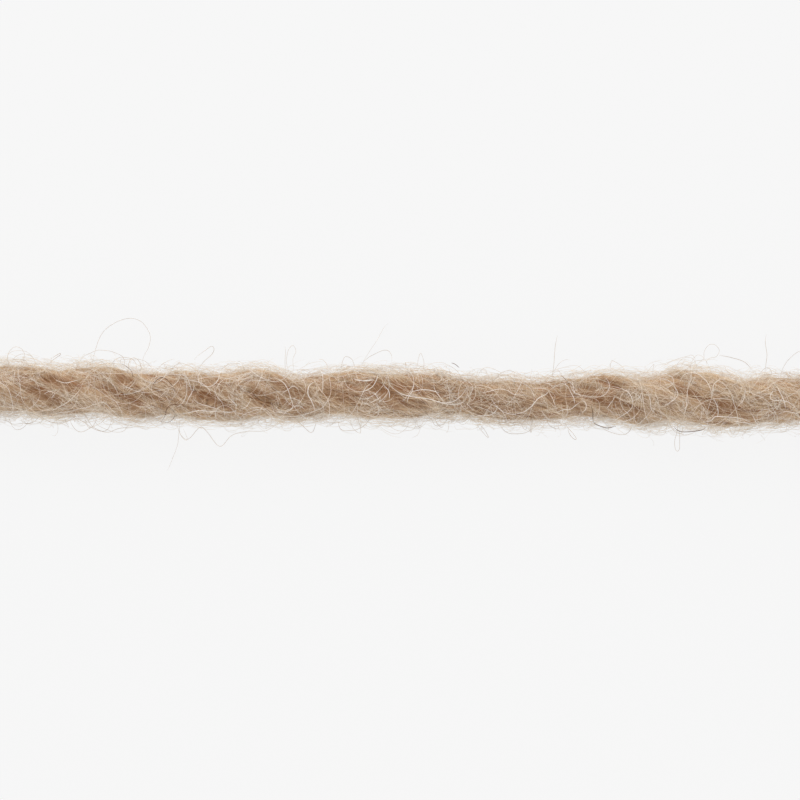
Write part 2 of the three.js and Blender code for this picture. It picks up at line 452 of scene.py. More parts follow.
def makePlyBodyTree():
    tree, add, given = makeModifierTree("plyBody", plyBody)
    guide, hollows = partGuide(add, given["Geometry"])
    tube = add("GeometryNodeMeshCylinder", {
        "Vertices": given["Sides"], "Side Segments": given["Steps"], "Radius": 1.0, "Depth": 1.0},
        fill_type="TRIANGLE_FAN")
    spot = add("ShaderNodeSeparateXYZ", {"Vector": add("GeometryNodeInputPosition")})
    share = add("ShaderNodeMath", {0: spot.outputs["Z"], 1: given["Share of length"], 2: 0.5},
                operation="MULTIPLY_ADD")
    direction = add("ShaderNodeMath", {0: spot.outputs["Y"], 1: spot.outputs["X"]}, operation="ARCTAN2")
    rim = add("ShaderNodeCombineXYZ", {"X": spot.outputs["X"], "Y": spot.outputs["Y"]})
    fromAxis = add("ShaderNodeVectorMath", {0: rim}, operation="LENGTH").outputs["Value"]
    outward, middle = sampleGuide(add, guide, "outward", share)
    reach, _ = sampleGuide(add, guide, "reach", share)
    # round outside, blunt wedge inside
    turned = add("ShaderNodeMath", {0: direction}, operation="ABSOLUTE")
    past = add("ShaderNodeMath", {0: turned, 1: math.pi / len(plies)}, operation="SUBTRACT")
    lean = add("ShaderNodeMath", {0: past}, operation="SINE")
    leanSafe = add("ShaderNodeMath", {0: lean, 1: leastLean}, operation="MAXIMUM")
    flank = add("ShaderNodeMath", {0: given["Flank distance"], 1: leanSafe}, operation="DIVIDE")
    full = add("ShaderNodeMath", {0: reach, 1: flank, 2: given["Blend"]}, operation="SMOOTH_MIN")
    # clumps and hairs run along the ply
    length = add("ShaderNodeMath", {0: share, 1: strand["length"] * mm}, operation="MULTIPLY")
    heading = add("ShaderNodeMath", {0: outward, 1: direction}, operation="ADD")
    ray = add("ShaderNodeVectorRotate", {
        "Vector": (0.0, 1.0, 0.0), "Axis": (1.0, 0.0, 0.0), "Angle": heading}, rotation_type="AXIS_ANGLE")
    skin = add("ShaderNodeVectorMath", {0: ray, 1: full, 2: middle}, operation="MULTIPLY_ADD")
    carding = add("GeometryNodeGroup", {
        "Hollow lines": hollows, "Place": skin, "Along": length, "Direction": direction,
        "Number": given["Number"]}, node_tree=cardingTree).outputs
    place = add("ShaderNodeCombineXYZ", {"X": length, "Y": spot.outputs["X"], "Z": spot.outputs["Y"]})
    hairSeat = add("ShaderNodeVectorMath", {0: place, 1: bodyHairs}, operation="MULTIPLY")
    hairs = add("ShaderNodeTexNoise", {
        "Vector": hairSeat, "W": given["Number"], "Scale": 1.0, "Detail": 3.0, "Roughness": 0.6},
        noise_dimensions="4D")
    hairLift = add("ShaderNodeMapRange", {
        "Value": shown(hairs.outputs), "From Min": noiseLow, "From Max": noiseHigh,
        "To Max": given["Hair height"]})
    lift = add("ShaderNodeMath", {0: carding["Lift"], 1: hairLift}, operation="ADD")
    soft = add("ShaderNodeMath", {0: full, 1: lift}, operation="ADD")
    pulled = add("ShaderNodeMath", {0: soft, 1: given["Sink"]}, operation="SUBTRACT")
    # the cut ends draw in a little
    nearEnd = add("ShaderNodeMath", {0: share, 1: 0.5}, operation="PINGPONG")
    toEnd = add("ShaderNodeMath", {0: nearEnd, 1: strand["length"] * mm}, operation="MULTIPLY")
    drawnIn = add("ShaderNodeMapRange", {
        "Value": toEnd, "From Max": given["Rounded over"], "To Min": given["Drawn in to"], "To Max": 1.0},
        interpolation_type="SMOOTHSTEP")
    endRadius = add("ShaderNodeMath", {0: pulled, 1: drawnIn}, operation="MULTIPLY")
    radius = add("ShaderNodeMath", {0: endRadius, 1: fromAxis}, operation="MULTIPLY")
    arm = add("ShaderNodeVectorMath", {0: ray, "Scale": radius}, operation="SCALE")
    skinPlace = add("ShaderNodeVectorMath", {0: middle, 1: arm}, operation="ADD")
    # nothing goes below the table, and one metre sideways holds nothing back
    onSurface = add("ShaderNodeVectorMath", {0: skinPlace, 1: (-1.0, -1.0, 0.0)}, operation="MAXIMUM")
    # painted shade: how far in the body lies, and how bare it is, sets how much darker and more red its
    # material colours it
    outness = add("GeometryNodeGroup", {"Guide": guide, "Factor": share, "Place": onSurface},
                  node_tree=depthTree)
    inward = add("ShaderNodeMath", {0: 1.0, 1: outness}, operation="SUBTRACT")
    paintedShadeFull = add("ShaderNodeMath", {0: inward, 1: carding["Bare"]}, operation="MAXIMUM")
    deep = add("ShaderNodeMath", {0: paintedShadeFull, 1: fromAxis}, operation="MULTIPLY")
    known = add("GeometryNodeStoreNamedAttribute", {"Geometry": tube, "Name": "deep", "Value": deep},
                data_type="FLOAT", domain="POINT")
    bent = add("GeometryNodeSetPosition", {"Geometry": known, "Position": onSurface})
    # the sides unroll lengthwise, one strip for each body, with the two cut ends in the last column
    flat = add("ShaderNodeSeparateXYZ", {"Vector": shown(tube.outputs, "UV Map")})
    isEnd = add("FunctionNodeCompare", {"A": flat.outputs["Y"], "B": endsBelow},
                operation="LESS_THAN", data_type="FLOAT")
    sideU = add("ShaderNodeMapRange", {
        "Value": flat.outputs["Y"], "From Min": 0.5, "To Min": 0.0, "To Max": onMap["sides"]})
    endU = add("ShaderNodeMapRange", {"Value": flat.outputs["X"], "To Min": onMap["ends"], "To Max": 1.0})
    endV = add("ShaderNodeMapRange", {
        "Value": flat.outputs["Y"], "From Max": 0.5, "To Min": onMap["margin"],
        "To Max": 1 - onMap["margin"]})
    side = add("ShaderNodeCombineXYZ", {"X": sideU, "Y": flat.outputs["X"]})
    end = add("ShaderNodeCombineXYZ", {"X": endU, "Y": endV})
    spread = add("GeometryNodeSwitch", {"Switch": isEnd, "False": side, "True": end}, input_type="VECTOR")
    strip = add("ShaderNodeCombineXYZ", {"Y": given["Number"]})
    lifted = add("ShaderNodeVectorMath", {0: spread, 1: strip}, operation="ADD")
    fitted = add("ShaderNodeVectorMath", {0: lifted, 1: (1.0, 1 / bodyCount, 1.0)}, operation="MULTIPLY")
    finishTree(add, given, bent, fitted, True)
    return tree


plyBodyTree = makePlyBodyTree()
plyNames = ["ply_a", "ply_b", "ply_c"]
plyBodies = [runTree(guide, plyBodyTree, {**plyBody, "Number": number}, f"{plyNames[number]}_mass")
             for number, guide in enumerate(plyGuides)]
# loose fibre half fills the grooves between the plies; its flanks lie beyond its reach, so it is round
filling = {**plyBody, "Flank distance": 5.0 * mm, "Sink": 0.24 * mm, "Share of length": 0.985,
           "Number": len(plies)}
plyBodies.append(runTree(strandGuide, plyBodyTree, filling, "groove_filling"))
yarn = joinPieces(plyBodies, "yarn_plies")
print("ply bodies", len(yarn.data.polygons))

# lengths in metres, angles in radians; a bend or a curl is the angle turned in each metre
laid = {"Count": 1200, "Points": 8, "Hair width": 0.015 * mm, "Shortest": 1.5 * mm, "Longest": 3.8 * mm,
        "Round": 1.9,  # how far round the ply from its outer side a hair may start
        "Heading": 0.28, "Heading spread": 0.6, "Lock turn": 1.8,  # away from the way that the ply runs
        "Climb": 0.0, "Climb spread": 0.02,  # up from the ply
        "Turn curl": 2200.0, "Climb curl": 60.0, "Least bend": 0.0, "Most bend": 0.0, "Waves": 1.0 / mm,
        "Apart": 0.2,  # how unlike each other the hairs of one lock are
        "Lowest": -0.04 * mm, "Highest": 0.34 * mm, "Blend": 0.1 * mm,
        "Packed": 2.0,  # more keeps them lower
        "Thinning": 0.0,  # the share that is missing where the ply is bare
        "Own shade": 0.5,  # the rest of a hair's shade comes from how far out it lies, as painted shade
        "Ends past": 0.4 * mm, "Drawn to ends": 0.0, "Number": 0, "Seed": 11, "Material": laidFibre}
lock = {"length": 1.5 * mm, "width": 1.2, "ownStep": 31.7}
# how much a bare place darkens a hair is painted shade
shading = {"paintedShadeWhereBare": 0.3, "palest": 0.98, "hairColumn": 0.02}  # a hair's width on the map
widthRange, curlRange = (0.7, 1.3), (0.6, 1.4)  # a hair's own share of the width and of the curl
steadyCurl = 0.09  # the share of the curl that turns one way all along a hair
seedStep = 101.0  # between the random numbers of one hair
# few hairs lie between the strand and the table, and each keeps clear of it by a share of its width
underside = {"from": 0.55 * mm, "to": 0.2 * mm, "thinned": 0.75, "clear": 0.65}
tipTaper = {"From Min": 0.3, "From Max": 0.5, "To Min": 1.0, "To Max": 0.35}  # from the middle to a tip


def sweepHairs(add, given, hairs, share, shade, own, parting=None):
    # three-sided tubes that thin to their tips, less the hairs that are parted out
    toTip = add("ShaderNodeMath", {0: share, 1: 0.5}, operation="SUBTRACT")
    fromMiddle = add("ShaderNodeMath", {0: toTip}, operation="ABSOLUTE")
    taper = add("ShaderNodeMapRange", {"Value": fromMiddle, **tipTaper})
    thick = add("ShaderNodeMath", {0: taper, 1: own}, operation="MULTIPLY")
    for name, value in (("hairShade", shade), ("hairShare", share), ("hairThick", thick)):
        hairs = add("GeometryNodeStoreNamedAttribute", {"Geometry": hairs, "Name": name, "Value": value},
                    data_type="FLOAT", domain="POINT")
    if parting:
        hairs = add("GeometryNodeDeleteGeometry", {"Geometry": hairs, "Selection": parting}, domain="POINT")
    profileRadius = add("ShaderNodeMath", {0: given["Hair width"], 1: 0.5}, operation="MULTIPLY")
    profile = add("GeometryNodeCurvePrimitiveCircle", {"Resolution": 3, "Radius": profileRadius},
                  mode="RADIUS")
    profileShare = add("GeometryNodeSplineParameter").outputs["Factor"]
    marked = add("GeometryNodeStoreNamedAttribute", {
        "Geometry": profile, "Name": "hairEdge", "Value": profileShare}, data_type="FLOAT", domain="POINT")
    noted = {name: shown(add("GeometryNodeInputNamedAttribute", {"Name": name}).outputs)
             for name in ("hairShade", "hairShare", "hairThick", "hairEdge")}
    tubes = add("GeometryNodeCurveToMesh", {
        "Curve": hairs, "Profile Curve": marked, "Scale": noted["hairThick"], "Fill Caps": True})
    # on the map a hair is a narrow upright strip at its own shade
    column = add("ShaderNodeMath", {0: noted["hairEdge"], 1: shading["hairColumn"], 2: noted["hairShade"]},
                 operation="MULTIPLY_ADD")
    place = add("ShaderNodeCombineXYZ", {"X": column, "Y": noted["hairShare"]})
    finishTree(add, given, tubes, place, False)


def makeFibreTree():
    tree, add, given = makeModifierTree("fibres", laid)
    guide, hollows = partGuide(add, given["Geometry"])
    straight = add("GeometryNodeResampleCurve", {
        "Curve": add("GeometryNodeCurvePrimitiveLine"), "Count": given["Points"]})
    copies = add("GeometryNodeDuplicateElements", {"Geometry": straight, "Amount": given["Count"]},
                 domain="SPLINE")
    hair = add("GeometryNodeCurveOfPoint").outputs["Curve Index"]
    share = add("GeometryNodeSplineParameter").outputs["Factor"]
    half = strand["length"] * mm / 2

    def draw(low, high, number):
        # one random number for each hair
        seed = add("ShaderNodeMath", {0: given["Seed"], 1: number * seedStep}, operation="ADD")
        return add("FunctionNodeRandomValue", {"Min": low, "Max": high, "ID": hair, "Seed": seed},
                   data_type="FLOAT")

    def spreadAround(middle, spread, number):
        # most draws fall near the middle
        one, two = draw(-0.5, 0.5, number), draw(-0.5, 0.5, number + 1)
        both = add("ShaderNodeMath", {0: one, 1: two}, operation="ADD")
        return add("ShaderNodeMath", {0: both, 1: spread, 2: middle}, operation="MULTIPLY_ADD")

    startLow = add("ShaderNodeMath", {0: -half, 1: given["Ends past"]}, operation="SUBTRACT")
    startHigh = add("ShaderNodeMath", {0: half, 1: given["Ends past"]}, operation="ADD")
    roundLow = add("ShaderNodeMath", {0: given["Round"], 1: -1.0}, operation="MULTIPLY")
    evenly = draw(startLow, startHigh, 1)
    nearerEnd = add("ShaderNodeMath", {0: add("ShaderNodeMath", {0: evenly}, operation="SIGN"), 1: half},
                    operation="MULTIPLY")
    middle = add("ShaderNodeMix", {"Factor": given["Drawn to ends"], "A": evenly, "B": nearerEnd},
                 data_type="FLOAT").outputs["Result"]
    side = draw(roundLow, given["Round"], 2)
    length = draw(given["Shortest"], given["Longest"], 3)
    packed = add("ShaderNodeMath", {0: draw(0.0, 1.0, 4), 1: given["Packed"]}, operation="POWER")
    low = add("ShaderNodeMapRange", {
        "Value": packed, "To Min": given["Lowest"], "To Max": given["Highest"]})
    climb = spreadAround(given["Climb"], given["Climb spread"], 7)
    ownShade = draw(0.0, given["Own shade"], 9)
    curly = draw(*curlRange, 14)
    phase = draw(0.0, given["Apart"], 10)
    ownBend = draw(given["Least bend"], given["Most bend"], 11)
    hand = add("ShaderNodeMath", {0: draw(-1.0, 1.0, 12)}, operation="SIGN")
    # hairs that start near each other turn alike, so that they lie in locks
    lockSeat = seatRound(add, middle, side, lock)
    lockNumber = add("ShaderNodeMath", {0: given["Number"], 1: lock["ownStep"], 2: phase},
                     operation="MULTIPLY_ADD")
    lockNoise = add("ShaderNodeTexNoise", {
        "Vector": lockSeat, "W": lockNumber, "Scale": 1.0, "Detail": 1.0, "Roughness": 0.5},
        noise_dimensions="4D")
    lockWay = add("ShaderNodeMath", {0: shown(lockNoise.outputs), 1: 0.5}, operation="SUBTRACT")
    lockHeading = add("ShaderNodeMath", {0: lockWay, 1: given["Lock turn"], 2: given["Heading"]},
                      operation="MULTIPLY_ADD")
    heading = spreadAround(lockHeading, given["Heading spread"], 5)
    # the hair's bending wanders along it
    count = add("ShaderNodeMath", {0: given["Points"], 1: 1.0}, operation="SUBTRACT")
    step = add("ShaderNodeMath", {0: length, 1: count}, operation="DIVIDE")
    reached = add("ShaderNodeMath", {0: share, 1: length}, operation="MULTIPLY")
    waves = add("ShaderNodeMath", {0: reached, 1: given["Waves"], 2: lockNumber}, operation="MULTIPLY_ADD")
    wander = add("ShaderNodeTexNoise", {
        "Vector": lockSeat, "W": waves, "Scale": 1.0, "Detail": 1.0, "Roughness": 0.5},
        noise_dimensions="4D").outputs["Color"]
    centred = add("ShaderNodeVectorMath", {0: wander, 1: (0.5, 0.5, 0.5)}, operation="SUBTRACT")
    curls = add("ShaderNodeCombineXYZ", {"Y": given["Climb curl"], "Z": given["Turn curl"]})
    wild = add("ShaderNodeVectorMath", {0: centred, 1: curls}, operation="MULTIPLY")
    # turning about Y brings a climbing hair down again
    bend = add("ShaderNodeMath", {0: hand, 1: given["Turn curl"]}, operation="MULTIPLY")
    bendTurn = add("ShaderNodeMath", {0: bend, 1: steadyCurl}, operation="MULTIPLY")
    steady = add("ShaderNodeCombineXYZ", {"Y": ownBend, "Z": bendTurn})
    curl = add("ShaderNodeVectorMath", {0: wild, 1: steady}, operation="ADD")
    ownStep = add("ShaderNodeMath", {0: step, 1: curly}, operation="MULTIPLY")
    perStep = add("ShaderNodeVectorMath", {0: curl, "Scale": ownStep}, operation="SCALE")
    turning = add("GeometryNodeAccumulateField", {"Value": perStep, "Group ID": hair},
                  data_type="FLOAT_VECTOR")
    down = add("ShaderNodeMath", {0: climb, 1: -1.0}, operation="MULTIPLY")
    begin = add("ShaderNodeCombineXYZ", {"Y": down, "Z": heading})
    facing = add("ShaderNodeVectorMath", {0: turning.outputs["Trailing"], 1: begin}, operation="ADD")
    onward = add("ShaderNodeVectorRotate", {"Vector": (1.0, 0.0, 0.0), "Rotation": facing},
                 rotation_type="EULER_XYZ")
    stride = add("ShaderNodeVectorMath", {0: onward, "Scale": step}, operation="SCALE")
    walked = add("GeometryNodeAccumulateField", {"Value": stride, "Group ID": hair},
                 data_type="FLOAT_VECTOR").outputs["Trailing"]
    walk = add("ShaderNodeSeparateXYZ", {"Vector": walked})
    # the walk is laid on the guide: along it, round it and out from it
    halfBack = add("ShaderNodeMath", {0: length, 1: -0.5, 2: middle}, operation="MULTIPLY_ADD")
    along = add("ShaderNodeMath", {0: halfBack, 1: walk.outputs["X"]}, operation="ADD")
    factor, middleFactor = [
        add("ShaderNodeMapRange", {"Value": at, "From Min": -half, "From Max": half})
        for at in (along, middle)]
    outward, middleOfGuide = sampleGuide(add, guide, "outward", factor)
    middleOutward, _ = sampleGuide(add, guide, "outward", middleFactor)
    full, _ = sampleGuide(add, guide, "reach", factor)
    climbed = add("ShaderNodeMath", {0: walk.outputs["Z"], 1: low}, operation="ADD")
    lift = add("ShaderNodeMath", {0: climbed, 1: given["Lowest"], 2: given["Blend"]}, operation="SMOOTH_MAX")
    swing = add("ShaderNodeMath", {0: full, 1: lift}, operation="ADD")
    sideStep = add("ShaderNodeMath", {
        0: add("ShaderNodeSeparateXYZ", {"Vector": stride}).outputs["Y"], 1: swing}, operation="DIVIDE")
    around = add("GeometryNodeAccumulateField", {"Value": sideStep, "Group ID": hair},
                 data_type="FLOAT").outputs["Trailing"]
    started = add("ShaderNodeMath", {0: middleOutward, 1: side}, operation="ADD")
    angle = add("ShaderNodeMath", {0: started, 1: around}, operation="ADD")
    turned = add("ShaderNodeMath", {0: angle, 1: outward}, operation="SUBTRACT")
    fromStart = add("ShaderNodeMath", {0: along, 1: half}, operation="ADD")
    ray = add("ShaderNodeVectorRotate", {
        "Vector": (0.0, 1.0, 0.0), "Axis": (1.0, 0.0, 0.0), "Angle": angle}, rotation_type="AXIS_ANGLE")
    line = add("ShaderNodeSeparateXYZ", {"Vector": middleOfGuide})
    foot = add("ShaderNodeCombineXYZ", {"X": along, "Y": line.outputs["Y"], "Z": line.outputs["Z"]})
    skin = add("ShaderNodeVectorMath", {0: ray, 1: full, 2: foot}, operation="MULTIPLY_ADD")
    carding = add("GeometryNodeGroup", {
        "Hollow lines": hollows, "Place": skin, "Along": fromStart, "Direction": turned,
        "Number": given["Number"]}, node_tree=cardingTree).outputs
    raised = add("ShaderNodeMath", {0: lift, 1: carding["Lift"]}, operation="ADD")
    radius = add("ShaderNodeMath", {0: full, 1: raised}, operation="ADD")
    arm = add("ShaderNodeVectorMath", {0: ray, "Scale": radius}, operation="SCALE")
    place = add("ShaderNodeVectorMath", {0: foot, 1: arm}, operation="ADD")
    clear = add("ShaderNodeMath", {0: given["Hair width"], 1: underside["clear"]}, operation="MULTIPLY")
    surface = add("ShaderNodeCombineXYZ", {"X": -1.0, "Y": -1.0, "Z": clear})
    onSurface = add("ShaderNodeVectorMath", {0: place, 1: surface}, operation="MAXIMUM")
    bent = add("GeometryNodeSetPosition", {"Geometry": copies, "Position": onSurface})
    # painted shade: fibre further in, and where the ply is bare, is coloured darker and more red, and the
    # outermost paler
    outness = add("GeometryNodeGroup", {"Guide": guide, "Factor": factor, "Place": onSurface},
                  node_tree=depthTree)
    paintedShadeShare = add("ShaderNodeMath", {0: 1.0, 1: given["Own shade"]}, operation="SUBTRACT")
    paintedDepthShade = add("ShaderNodeMath", {0: outness, 1: paintedShadeShare, 2: ownShade}, operation="MULTIPLY_ADD")
    paintedShadeWithBare = add("ShaderNodeMath", {0: carding["Bare"], 1: -shading["paintedShadeWhereBare"], 2: paintedDepthShade},
                    operation="MULTIPLY_ADD")
    shade = add("ShaderNodeClamp", {"Value": paintedShadeWithBare, "Min": 0.0, "Max": shading["palest"]})
    # few stray hairs cross a bare place or the underside, by how it is at their middle
    halfOn = add("ShaderNodeMath", {0: hair, 1: 0.5}, operation="ADD")
    midPoint = add("ShaderNodeMath", {0: halfOn, 1: given["Points"]}, operation="MULTIPLY")
    height = add("ShaderNodeSeparateXYZ", {"Vector": onSurface}).outputs["Z"]
    under = add("ShaderNodeMapRange", {
        "Value": height, "From Min": underside["from"], "From Max": underside["to"],
        "To Max": underside["thinned"]})
    bareMiddle, underMiddle = [
        add("GeometryNodeFieldAtIndex", {"Value": value, "Index": midPoint},
            data_type="FLOAT", domain="POINT")
        for value in (carding["Bare"], under)]
    barest = add("ShaderNodeMath", {0: bareMiddle, 1: given["Thinning"]}, operation="MULTIPLY")
    chance = add("ShaderNodeMath", {0: barest, 1: underMiddle}, operation="MAXIMUM")
    parting = add("FunctionNodeCompare", {"A": draw(0.0, 1.0, 15), "B": chance},
                  operation="LESS_THAN", data_type="FLOAT")
    sweepHairs(add, given, bent, share, shade, draw(*widthRange, 13), parting)
    return tree


fibreTree = makeFibreTree()
teased = {**laid, "Count": 2600, "Points": 9, "Hair width": 0.0135 * mm, "Shortest": 1.0 * mm,
          "Longest": 2.4 * mm, "Heading": 0.28, "Heading spread": 1.5, "Climb": 0.06, "Climb spread": 0.3,
          "Turn curl": 6000.0, "Climb curl": 1200.0, "Least bend": 100.0, "Most bend": 500.0,
          "Waves": 1.2 / mm, "Apart": 0.6, "Lowest": 0.0, "Highest": 0.50 * mm, "Packed": 1.5,
          "Thinning": 1.0, "Ends past": 0.1 * mm}
down = {**laid, "Count": 3500, "Points": 8, "Hair width": 0.013 * mm, "Shortest": 0.7 * mm,
        "Longest": 1.6 * mm, "Round": math.pi, "Heading": 0.5, "Heading spread": 2.6, "Lock turn": 2.0,
        "Climb": 0.15, "Climb spread": 0.7, "Turn curl": 9000.0, "Climb curl": 2500.0, "Least bend": 300.0,
        "Most bend": 1500.0, "Waves": 1.4 / mm, "Apart": 1000.0, "Lowest": -0.14 * mm, "Highest": 0.47 * mm,
        "Packed": 1.5, "Thinning": 1.0, "Ends past": 0.0, "Material": haloFibre}
tips = {**laid, "Count": 420, "Points": 6, "Shortest": 0.5 * mm, "Longest": 1.5 * mm, "Round": math.pi,
        "Heading": 0.1, "Heading spread": 1.0, "Lock turn": 0.5, "Climb spread": 0.3, "Turn curl": 4000.0,
        "Climb curl": 800.0, "Apart": 1000.0, "Lowest": -0.9 * mm, "Highest": 0.0, "Packed": 1.0,
        "Ends past": 0.0, "Drawn to ends": 0.985, "Number": 7, "Seed": 71}
fibres = []
for number, guide in enumerate(plyGuides):
    for kind, sizes, line in (("laid", laid, guide), ("teased", teased, guide), ("down", down, strandGuide)):
        own = {"Seed": laid["Seed"] + len(fibres), "Number": number}
        fibres.append(runTree(line, fibreTree, {**sizes, **own}, f"{plyNames[number]}_{kind}"))
print("spun fibres", len(fibres))

loose = {**laid, "Count": 330, "Points": 26, "Hair width": 0.023 * mm, "Shortest": 2.0 * mm,
         "Longest": 6.0 * mm, "Round": math.pi, "Heading": 0.35, "Heading spread": 2.2, "Lock turn": 0.5,
         "Climb": 0.05, "Climb spread": 0.2, "Turn curl": 7800.0, "Climb curl": 500.0, "Least bend": 50.0,
         "Most bend": 250.0, "Waves": 0.85 / mm, "Apart": 1000.0, "Lowest": 0.08 * mm, "Highest": 0.42 * mm,
         "Packed": 1.2, "Thinning": 0.3, "Own shade": 0.4, "Ends past": -1.0 * mm, "Number": 5,
         "Material": looseFibre}
flyaway = {**loose, "Count": 310, "Points": 20, "Hair width": 0.020 * mm, "Shortest": 2.0 * mm,
           "Longest": 4.2 * mm, "Heading": 0.0, "Heading spread": 3.1, "Climb": 0.7, "Climb spread": 0.7,
           "Turn curl": 8000.0, "Climb curl": 3500.0, "Least bend": 400.0, "Most bend": 1500.0, "Seed": 41,
           "Material": flyFibre}
# the hairs that stand out most, each laid over the strand, millimetres along and across
paleHairs = [
    [(-17.0, 0.71), (-16.8, 0.63), (-16.5, 0.56), (-16.2, 0.63), (-15.85, 0.76), (-15.65, 0.91)],
    [(-17.65, 0.0), (-17.45, 0.12), (-17.25, 0.13), (-17.1, 0.02), (-17.3, -0.2)],
    [(-10.2, 0.5), (-10.25, 0.2), (-10.45, -0.19), (-10.57, -0.51)],
    [(-10.7, 0.74), (-10.3, 0.69), (-9.8, 0.54), (-9.5, 0.3), (-9.35, 0.0)],
    [(-11.0, -1.0), (-10.5, -0.92), (-10.0, -0.81), (-9.4, -0.84), (-8.8, -0.87), (-8.3, -0.87),
     (-8.05, -0.66), (-8.3, -0.34), (-8.5, -0.1)],
    [(-10.25, -0.2), (-10.0, -0.42), (-9.5, -0.59), (-9.0, -0.74), (-8.75, -0.9)],
    [(-9.15, 0.25), (-9.05, -0.1), (-8.8, -0.45), (-8.72, -0.9), (-8.7, -1.15)],
    [(-8.3, -0.25), (-8.0, -0.68), (-7.65, -0.64), (-7.4, -0.35), (-7.37, -0.18)],
    [(-7.85, 0.67), (-7.5, 0.7), (-7.0, 0.69), (-6.6, 0.7), (-6.25, 0.85)],
    [(-6.25, 0.85), (-5.8, 0.6), (-5.55, 0.25), (-5.4, -0.25), (-5.33, -0.65), (-5.8, -1.0)],
    [(-5.8, 0.06), (-5.5, 0.27), (-5.25, 0.4), (-5.0, 0.2)],
    [(-5.35, -0.6), (-5.0, -0.57), (-4.75, -0.75)],
    [(-4.2, 0.65), (-4.5, 0.42), (-4.55, 0.0), (-4.37, -0.35), (-4.25, -0.8)],
    [(-2.65, 0.45), (-2.4, 0.23), (-2.0, 0.13), (-1.65, 0.2), (-1.35, 0.4), (-1.15, 0.75), (-1.13, 1.05),
     (-1.3, 1.3)],
    [(-2.28, 0.76), (-2.05, 0.68), (-1.6, 0.7), (-1.35, 0.76)],
    [(-2.3, 0.78), (-2.0, 0.71), (-1.7, 0.66), (-1.3, 0.71)],
    [(-0.55, 0.55), (-0.4, 0.35), (0.0, 0.06), (0.5, -0.1), (1.0, -0.17), (1.5, -0.25), (2.0, -0.4),
     (2.4, -0.42), (2.75, -0.3), (3.1, 0.0), (3.3, 0.3), (3.4, 0.45)],
    [(2.1, -0.45), (2.5, -0.5), (3.0, -0.45), (3.35, -0.2), (3.57, 0.15), (3.6, 0.4)],
    [(2.0, 0.45), (2.3, 0.67), (2.65, 0.8), (3.0, 0.82), (3.3, 0.7), (3.6, 0.45)],
    [(1.65, 0.5), (1.75, 0.2), (1.95, -0.1), (2.15, -0.35)],
    [(0.7, 0.5), (0.6, 0.15), (0.4, -0.2), (0.37, -0.45), (0.45, -0.75), (0.47, -1.0)],
    [(-0.8, 0.45), (-0.55, 0.15), (-0.52, -0.2)],
    [(-1.85, -0.25), (-1.87, -0.45), (-2.0, -0.7)],
    [(-1.3, 0.1), (-1.05, -0.25), (-1.0, -0.45)],
    [(0.5, 0.1), (1.0, 0.22), (1.5, 0.2), (2.0, 0.05)],
    [(7.33, 0.46), (7.45, 0.1), (7.6, -0.3), (7.75, -0.75), (7.8, -0.87)],
    [(7.8, -0.87), (8.15, -0.75), (8.45, -0.74), (8.7, -0.55), (8.9, -0.4)],
    [(7.45, 0.2), (7.75, 0.41), (8.1, 0.53), (8.35, 0.4), (8.5, 0.1), (8.63, -0.2), (8.65, -0.45)],
    [(8.6, 0.65), (8.63, 0.36), (8.7, 0.05), (8.8, -0.02)],
    [(6.1, -0.95), (6.5, -0.6), (6.85, -0.2), (7.25, 0.0), (7.45, 0.2)],
    [(4.0, 0.05), (4.4, 0.15), (4.9, 0.26), (5.3, 0.2), (5.65, 0.0), (6.2, -0.05)],
    [(4.3, -0.4), (4.65, -0.55), (5.0, -0.75), (5.25, -1.1), (5.35, -1.35)],
    [(9.0, -0.25), (9.2, -0.45), (9.2, -0.75), (9.0, -0.9)],
    [(11.1, 0.2), (10.9, -0.25), (11.05, -0.7), (11.35, -1.0), (11.5, -1.3)],
    [(10.25, -0.7), (10.6, -0.25), (10.65, -0.1)],
    [(12.25, 0.05), (12.35, -0.35), (12.45, -0.75), (12.75, -1.0)],
    [(13.1, 0.85), (13.4, 0.65), (13.65, 0.35), (13.72, 0.0), (13.45, -0.3), (13.05, -0.55)],
    [(14.5, 1.1), (14.45, 0.8), (14.35, 0.55), (14.25, 0.15), (14.17, -0.25), (14.1, -0.75),
     (14.0, -1.25), (13.97, -1.55)],
    [(15.85, 0.85), (15.75, 0.7), (15.5, 0.5), (15.45, 0.15), (15.45, -0.15)],
    [(14.45, -1.0), (14.65, -0.65), (15.0, -0.4), (15.4, -0.25), (15.8, -0.2), (16.15, -0.25),
     (16.45, -0.27)],
    [(15.5, -0.2), (15.7, -0.55), (15.75, -0.9), (15.7, -1.15)],
    [(15.0, -1.4), (15.4, -1.3), (15.6, -1.1), (16.1, -1.12), (16.6, -1.15), (17.1, -1.25), (17.3, -1.4)],
    [(18.75, -1.25), (18.8, -1.05), (19.0, -0.87), (19.4, -0.9), (19.7, -1.0), (19.9, -1.25)],
    [(18.5, 0.3), (18.25, -0.15), (18.5, -0.3), (19.0, -0.33), (19.25, -0.45), (19.55, -0.7),
     (19.7, -0.85)],
    [(18.65, 0.4), (18.8, 0.0), (18.95, -0.35), (19.05, -0.7)],
]
